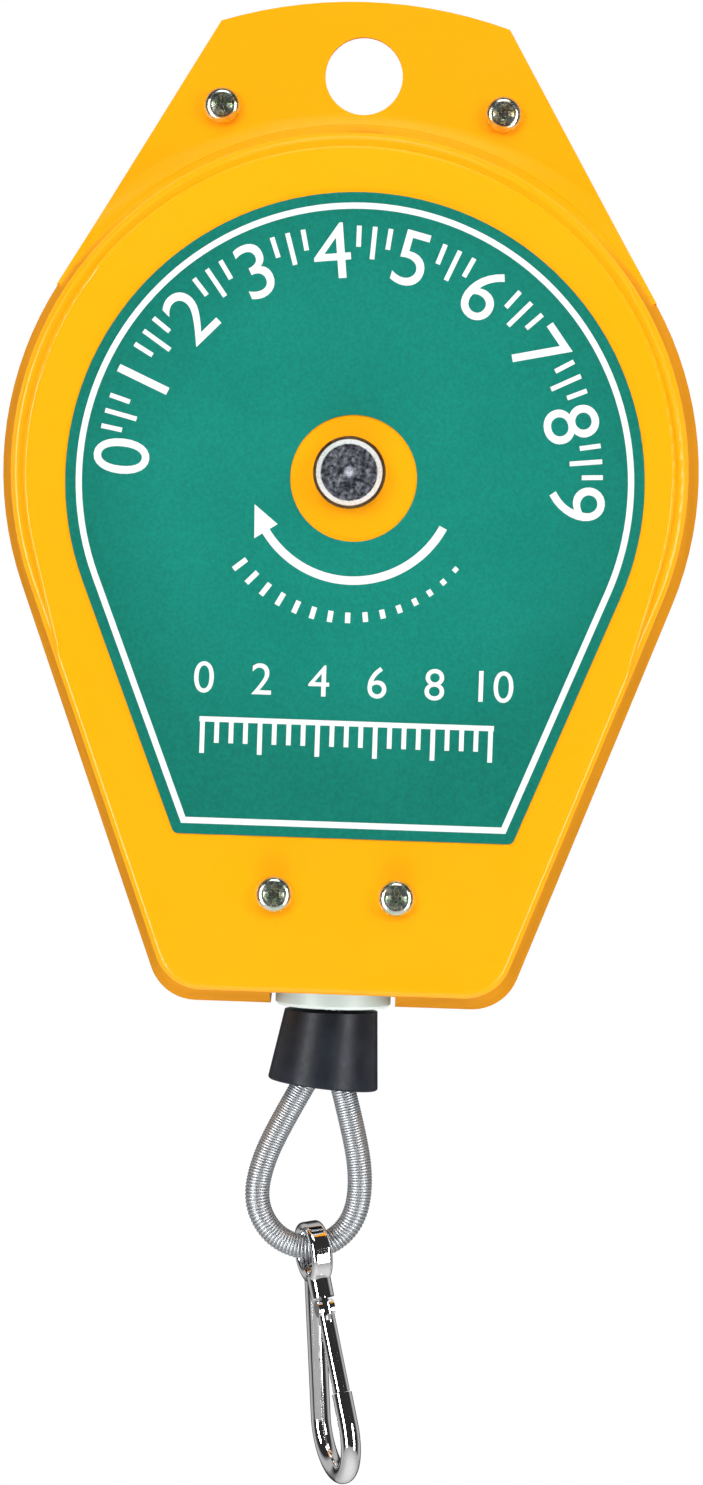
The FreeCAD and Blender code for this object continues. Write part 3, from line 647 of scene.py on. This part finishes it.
def numeral(bm, text, size, place):
    """A numeral as a thin solid. place maps its flat (u, v), centred, to (x, z)."""
    curve = bpy.data.curves.new("numeral", "FONT")
    curve.body = text
    curve.size = size
    curve.resolution_u = 6
    curve.align_x = "CENTER"
    shown = link(curve, "numeral")
    bpy.context.view_layer.update()
    mesh = bpy.data.meshes.new_from_object(shown)
    bpy.data.objects.remove(shown)
    heights = [v.co.y for v in mesh.vertices]
    middle = (min(heights) + max(heights)) / 2
    flat = bmesh.new()
    flat.from_mesh(mesh)
    bpy.data.meshes.remove(mesh)
    bmesh.ops.remove_doubles(flat, verts=flat.verts, dist=1e-7)
    new = {}
    for v in flat.verts:
        x, z = place(v.co.x, v.co.y - middle)
        new[v] = (bm.verts.new((x, PRINT_Y, z)), bm.verts.new((x, PRINT_Y + PRINT_T, z)))
    for face in flat.faces:
        bm.faces.new([new[v][0] for v in face.verts])
        bm.faces.new([new[v][1] for v in reversed(face.verts)])
    for edge in flat.edges:
        if len(edge.link_faces) == 1:
            a, b = edge.verts
            bm.faces.new((new[a][0], new[b][0], new[b][1], new[a][1]))
    flat.free()


def dial_place(degrees, radius):
    """Where a numeral's own (u, v) lands when it stands on the dial."""
    a = math.radians(degrees)

    def place(u, v):
        x = (radius + v) * math.cos(a) + u * math.sin(a)
        z = (radius + v) * math.sin(a) - u * math.cos(a)
        return DIAL_CENTRE[0] + x, DIAL_CENTRE[1] + z

    return place


def draw_border(bm):
    ring_prism(bm, label_outline(BORDER_INSET), label_outline(BORDER_INSET + BORDER_W))


def draw_dial(bm):
    """Numerals along the upper edge, with three ticks between each two."""
    inner, outer = DIAL_R
    first, last = DIAL_ANGLES
    step = (last - first) / (DIAL_NUMERALS - 1)
    for k in range(DIAL_NUMERALS):
        at = first + step * k
        numeral(bm, str(k), (outer - inner) * FONT_OVER_HEIGHT, dial_place(at, (inner + outer) / 2))
        if k == DIAL_NUMERALS - 1:
            break
        for share, length in DIAL_TICKS:
            radial_tick(bm, DIAL_CENTRE, at + step * share, outer - length, outer, TICK_W)


def draw_arrow(bm):
    """The arrow that shows which way the shaft is turned, over ticks that grow that way."""
    arc_band(bm, HOLE_CENTRE, ARROW_R, ARROW_W, ARROW_TAIL, ARROW_HEAD)
    tip = turn_point(*HOLE_CENTRE, ARROW_R, ARROW_TIP)
    a = turn_point(*HOLE_CENTRE, ARROW_R + ARROW_HALF, ARROW_HEAD)
    b = turn_point(*HOLE_CENTRE, ARROW_R - ARROW_HALF, ARROW_HEAD)
    prism(bm, [tip, a, b])
    start, end, count = TURN_TICKS
    inner, outer = TURN_TICK_R
    for k in range(count):
        share = k / (count - 1)
        length = (outer - inner) * (TURN_TICK_LEAST + (1 - TURN_TICK_LEAST) * share)
        at = start + (end - start) * share
        radial_tick(bm, HOLE_CENTRE, at, inner, inner + length, TURN_TICK_W)


def draw_rule(bm):
    """A plain ruled scale with numerals over it."""
    left, right = LABEL_X - RULE_HALF, LABEL_X + RULE_HALF
    for k, number in enumerate(RULE_NUMERALS):
        x0 = left + (right - left) * k / (len(RULE_NUMERALS) - 1)
        numeral(bm, str(number), RULE_FONT, lambda u, v, x0=x0: (x0 + u, RULE_NUMERALS_Z + v))
    low, high = RULE_Z
    block(bm, left - RULE_OVERHANG, right + RULE_OVERHANG, low, high)
    for k in range(RULE_STEPS + 1):
        x = left + (right - left) * k / RULE_STEPS
        length = RULE_TICKS[0] if k % 4 == 0 else RULE_TICKS[1]
        block(bm, x - TICK_W / 2, x + TICK_W / 2, low - length, low)


def build_print():
    """The label's white print, as thin solids on the foil."""
    ink = white_ink()
    drawings = {
        "label_border": draw_border, "dial_scale": draw_dial, "turn_arrow": draw_arrow,
        "label_rule": draw_rule,
    }
    for name, draw in drawings.items():
        bm = bmesh.new()
        draw(bm)
        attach(paint(from_bmesh(bm, name), ink), "housing")


# ---------------------------------------------------------------- stage and light

def area_light(name, place, size, power, diffuse=True, glossy=True):
    """A soft lamp that faces the object, and may be left out of its diffuse or glossy light."""
    data = bpy.data.lights.new(name, "AREA")
    data.shape = "RECTANGLE"
    data.size, data.size_y = size
    data.energy = power
    lamp = link(data, name)
    lamp.location = place
    lamp.rotation_euler = (Vector(place) - LAMP_TARGET).to_track_quat("Z", "Y").to_euler()
    lamp.visible_diffuse = diffuse
    lamp.visible_glossy = glossy


def pale_floor():
    """Matt and pale, and lifted towards white for the eye alone, so that it keeps its shadows."""
    m = Finish("pale_floor", (0.86, 0.86, 0.85), 0.7)
    glow = m.node("ShaderNodeEmission", Strength=FLOOR_GLOW)
    black = m.node("ShaderNodeEmission", Strength=0.0)
    pick = m.node("ShaderNodeMixShader")
    m.feed(pick.inputs, (m.seen(), black.outputs[0], glow.outputs[0]))
    both = m.node("ShaderNodeAddShader")
    m.feed(both.inputs, (m.shader.outputs[0], pick.outputs[0]))
    m.wire(both.outputs[0], m.tree.nodes["Material Output"].inputs["Surface"])
    m.grain(40.0, depth=0.0004, strength=0.2)
    return m.material


def make_floor():
    """A pale floor far below, clear of the hook when the rope is all out."""
    travel = next(j for j in frame["joints"] if j["name"] == "rope_pull")["range_m"][1]
    z = CAD_LOW.z - travel - FLOOR_GAP
    bm = bmesh.new()
    corners = [(-1, -1), (1, -1), (1, 1), (-1, 1)]
    bm.faces.new([bm.verts.new((x * FLOOR_HALF, y * FLOOR_HALF, z)) for x, y in corners])
    paint(from_bmesh(bm, "floor"), pale_floor())


def make_world():
    """White to the eye, a plain grey as light, and the studio's dark and grey zones in reflections."""
    world = bpy.data.worlds.new("studio")
    bpy.context.scene.world = world
    world.use_nodes = True
    w = Nodes(world.node_tree)
    split = w.node("ShaderNodeSeparateXYZ")
    w.wire(w.node("ShaderNodeTexCoord").outputs["Generated"], split.inputs["Vector"])
    zones = [((y + 1) / 2, (grey, grey, grey)) for y, grey in STUDIO]
    studio = w.ramp(w.maths("MULTIPLY_ADD", split.outputs["Y"], 0.5, 0.5), zones)
    glossy = w.node("ShaderNodeLightPath").outputs["Is Glossy Ray"]
    strength = w.choose(w.seen(), w.choose(glossy, AMBIENT, studio), 1.0)
    background = world.node_tree.nodes["Background"]
    background.inputs["Color"].default_value = (1, 1, 1, 1)
    w.wire(strength, background.inputs["Strength"])


def make_lights():
    """Lamps all round for the diffuse light. The top lamp and the two strips show in reflections."""
    tall, square, flat, strip = (0.50, 0.90), (0.60, 0.60), (0.80, 0.45), (0.30, 1.30)
    area_light("key_left", (-0.83, -1.06, 0.40), tall, 9.2, glossy=False)
    area_light("key_right", (1.06, -0.82, 0.36), tall, 9.6, glossy=False)
    area_light("fill", (0.0, -1.15, 0.62), (0.50, 0.40), 4.4, glossy=False)
    area_light("top", (0.0, -0.55, 0.75), (0.60, 0.35), 2.6)
    area_light("low", (0.0, -0.30, -1.15), flat, 9.0, glossy=False)
    area_light("side_left", (-1.30, 0.10, -0.10), square, 6.0, glossy=False)
    area_light("side_right", (1.30, 0.10, -0.10), square, 5.0, glossy=False)
    area_light("strip_left", (-0.95, -0.95, -0.35), strip, 22.0, diffuse=False)
    area_light("strip_right", (0.95, -0.95, -0.35), strip, 18.0, diffuse=False)
    area_light("back_left", (-0.80, 1.05, 0.75), (0.70, 0.70), 9.0, glossy=False)
    area_light("back_right", (0.80, 1.05, 0.75), (0.70, 0.70), 9.0, glossy=False)


# ---------------------------------------------------------------- build

make_camera()
build_cord()
make_materials()
build_print()
build_pulled_rope()
make_floor()
make_world()
make_lights()
bpy.context.scene.view_settings.view_transform = "Standard"
